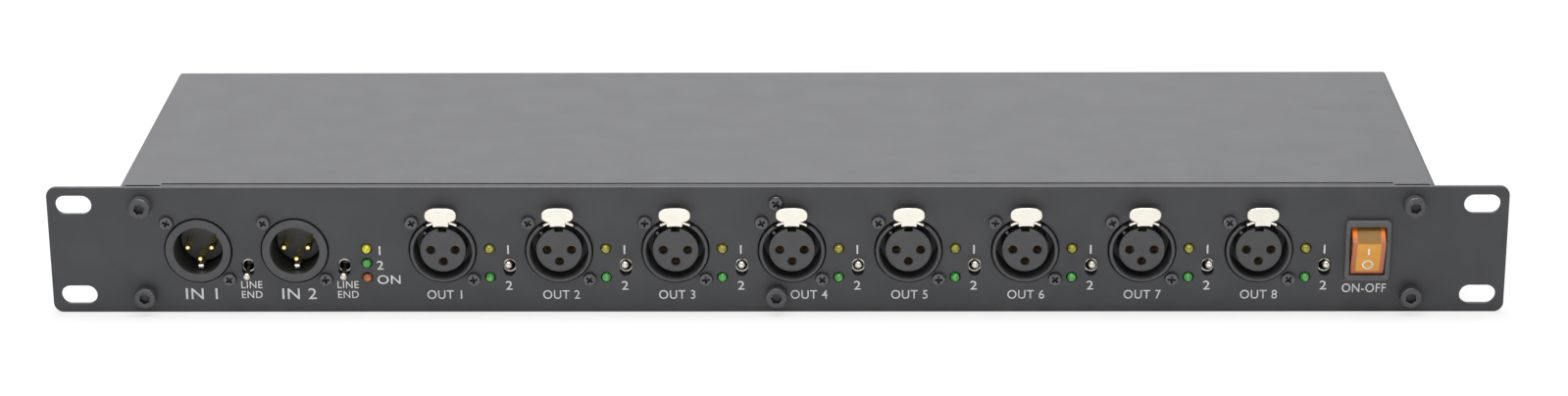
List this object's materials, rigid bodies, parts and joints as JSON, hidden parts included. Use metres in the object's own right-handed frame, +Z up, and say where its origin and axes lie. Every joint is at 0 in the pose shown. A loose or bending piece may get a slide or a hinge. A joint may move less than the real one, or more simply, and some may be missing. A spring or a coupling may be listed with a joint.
{
  "type": "rack dmx splitter",
  "caption": "Slim rack box that splits a lighting data line: plug inputs, latching socket outputs, route toggles, status lamps and a lit mains rocker.",
  "frame": {"origin": "centre of the footprint, on the surface that the case rests on", "axes": "+X to the right seen from the front, +Y to the back, +Z up"},
  "size_m": [0.4826, 0.1318, 0.044],
  "materials": {
    "panel_paint": "black satin powder coat with a fine texture and white legends",
    "case_paint": "black satin powder coat with a fine texture",
    "socket_plastic": "black moulded plastic",
    "latch_nickel": "bright nickel plate",
    "switch_metal": "plated bush on a small switch body",
    "lever_chrome": "bright nickel plate",
    "contact_gold": "gold plated pins in a dark carrier",
    "frame_plastic": "black moulded plastic with a faint grain",
    "rocker_lens": "clear orange lens over a legend block with white marks",
    "board_laminate": "green circuit board with tinted lamps",
    "supply_core": "laminated transformer core on its board",
    "lead_sleeve": "black sleeving",
    "black_steel": "black oxide steel"
  },
  "bodies": {
    "root": {"front_panel": "panel_paint", "chassis_tray": "case_paint", "top_cover": "case_paint", "output_socket_1": "socket_plastic", "output_socket_2": "socket_plastic", "output_socket_3": "socket_plastic", "output_socket_4": "socket_plastic", "output_socket_5": "socket_plastic", "output_socket_6": "socket_plastic", "output_socket_7": "socket_plastic", "output_socket_8": "socket_plastic", "route_switch_1": "switch_metal", "route_switch_2": "switch_metal", "route_switch_3": "switch_metal", "route_switch_4": "switch_metal", "route_switch_5": "switch_metal", "route_switch_6": "switch_metal", "route_switch_7": "switch_metal", "route_switch_8": "switch_metal", "input_socket_a": "socket_plastic", "input_socket_b": "socket_plastic", "input_insert_a": "contact_gold", "input_insert_b": "contact_gold", "termination_switch_a": "switch_metal", "termination_switch_b": "switch_metal", "power_switch_frame": "frame_plastic", "signal_board": "board_laminate", "power_supply": "supply_core", "mains_inlet": "frame_plastic", "mains_lead": "lead_sleeve", "supply_lead": "lead_sleeve", "panel_bolt_1": "black_steel", "panel_bolt_2": "black_steel", "panel_bolt_3": "black_steel", "panel_bolt_4": "black_steel", "panel_bolt_5": "black_steel", "panel_screw": "black_steel", "cover_screw_1": "black_steel", "cover_screw_2": "black_steel", "cover_screw_3": "black_steel", "cover_screw_4": "black_steel"},
    "latch_tab_1": {"latch_tab_1": "latch_nickel"},
    "latch_tab_2": {"latch_tab_2": "latch_nickel"},
    "latch_tab_3": {"latch_tab_3": "latch_nickel"},
    "latch_tab_4": {"latch_tab_4": "latch_nickel"},
    "latch_tab_5": {"latch_tab_5": "latch_nickel"},
    "latch_tab_6": {"latch_tab_6": "latch_nickel"},
    "latch_tab_7": {"latch_tab_7": "latch_nickel"},
    "latch_tab_8": {"latch_tab_8": "latch_nickel"},
    "route_lever_1": {"route_lever_1": "lever_chrome"},
    "route_lever_2": {"route_lever_2": "lever_chrome"},
    "route_lever_3": {"route_lever_3": "lever_chrome"},
    "route_lever_4": {"route_lever_4": "lever_chrome"},
    "route_lever_5": {"route_lever_5": "lever_chrome"},
    "route_lever_6": {"route_lever_6": "lever_chrome"},
    "route_lever_7": {"route_lever_7": "lever_chrome"},
    "route_lever_8": {"route_lever_8": "lever_chrome"},
    "termination_lever_a": {"termination_lever_a": "lever_chrome"},
    "termination_lever_b": {"termination_lever_b": "lever_chrome"},
    "power_rocker": {"power_rocker": "rocker_lens"}
  },
  "joints": [
    {"name": "latch_tab_1_press", "type": "slide", "parent": "root", "child": "latch_tab_1", "axis": [0, 1, 0], "range_m": [0, 0.002], "stiffness_N_per_m": 800},
    {"name": "latch_tab_2_press", "type": "slide", "parent": "root", "child": "latch_tab_2", "axis": [0, 1, 0], "range_m": [0, 0.002], "stiffness_N_per_m": 800},
    {"name": "latch_tab_3_press", "type": "slide", "parent": "root", "child": "latch_tab_3", "axis": [0, 1, 0], "range_m": [0, 0.002], "stiffness_N_per_m": 800},
    {"name": "latch_tab_4_press", "type": "slide", "parent": "root", "child": "latch_tab_4", "axis": [0, 1, 0], "range_m": [0, 0.002], "stiffness_N_per_m": 800},
    {"name": "latch_tab_5_press", "type": "slide", "parent": "root", "child": "latch_tab_5", "axis": [0, 1, 0], "range_m": [0, 0.002], "stiffness_N_per_m": 800},
    {"name": "latch_tab_6_press", "type": "slide", "parent": "root", "child": "latch_tab_6", "axis": [0, 1, 0], "range_m": [0, 0.002], "stiffness_N_per_m": 800},
    {"name": "latch_tab_7_press", "type": "slide", "parent": "root", "child": "latch_tab_7", "axis": [0, 1, 0], "range_m": [0, 0.002], "stiffness_N_per_m": 800},
    {"name": "latch_tab_8_press", "type": "slide", "parent": "root", "child": "latch_tab_8", "axis": [0, 1, 0], "range_m": [0, 0.002], "stiffness_N_per_m": 800},
    {"name": "route_lever_1_flip", "type": "hinge", "parent": "root", "child": "route_lever_1", "pos_m": [-0.08865, -0.05639, 0.01585], "axis": [1, 0, 0], "range_deg": [0, 30]},
    {"name": "route_lever_2_flip", "type": "hinge", "parent": "root", "child": "route_lever_2", "pos_m": [-0.05005, -0.05639, 0.01585], "axis": [1, 0, 0], "range_deg": [0, 30]},
    {"name": "route_lever_3_flip", "type": "hinge", "parent": "root", "child": "route_lever_3", "pos_m": [-0.01145, -0.05639, 0.01585], "axis": [1, 0, 0], "range_deg": [0, 30]},
    {"name": "route_lever_4_flip", "type": "hinge", "parent": "root", "child": "route_lever_4", "pos_m": [0.02715, -0.05639, 0.01585], "axis": [1, 0, 0], "range_deg": [0, 30]},
    {"name": "route_lever_5_flip", "type": "hinge", "parent": "root", "child": "route_lever_5", "pos_m": [0.06575, -0.05639, 0.01585], "axis": [1, 0, 0], "range_deg": [0, 30]},
    {"name": "route_lever_6_flip", "type": "hinge", "parent": "root", "child": "route_lever_6", "pos_m": [0.10435, -0.05639, 0.01585], "axis": [1, 0, 0], "range_deg": [0, 30]},
    {"name": "route_lever_7_flip", "type": "hinge", "parent": "root", "child": "route_lever_7", "pos_m": [0.14295, -0.05639, 0.01585], "axis": [1, 0, 0], "range_deg": [0, 30]},
    {"name": "route_lever_8_flip", "type": "hinge", "parent": "root", "child": "route_lever_8", "pos_m": [0.18155, -0.05639, 0.01585], "axis": [1, 0, 0], "range_deg": [0, 30]},
    {"name": "termination_lever_a_flip", "type": "hinge", "parent": "root", "child": "termination_lever_a", "pos_m": [-0.1757, -0.05639, 0.01585], "axis": [-1, 0, 0], "range_deg": [0, 30]},
    {"name": "termination_lever_b_flip", "type": "hinge", "parent": "root", "child": "termination_lever_b", "pos_m": [-0.1436, -0.05639, 0.01585], "axis": [-1, 0, 0], "range_deg": [0, 30]},
    {"name": "power_rocker_tip", "type": "hinge", "parent": "root", "child": "power_rocker", "pos_m": [0.1954, -0.05995, 0.022], "axis": [-1, 0, 0], "range_deg": [0, 14]}
  ]
}
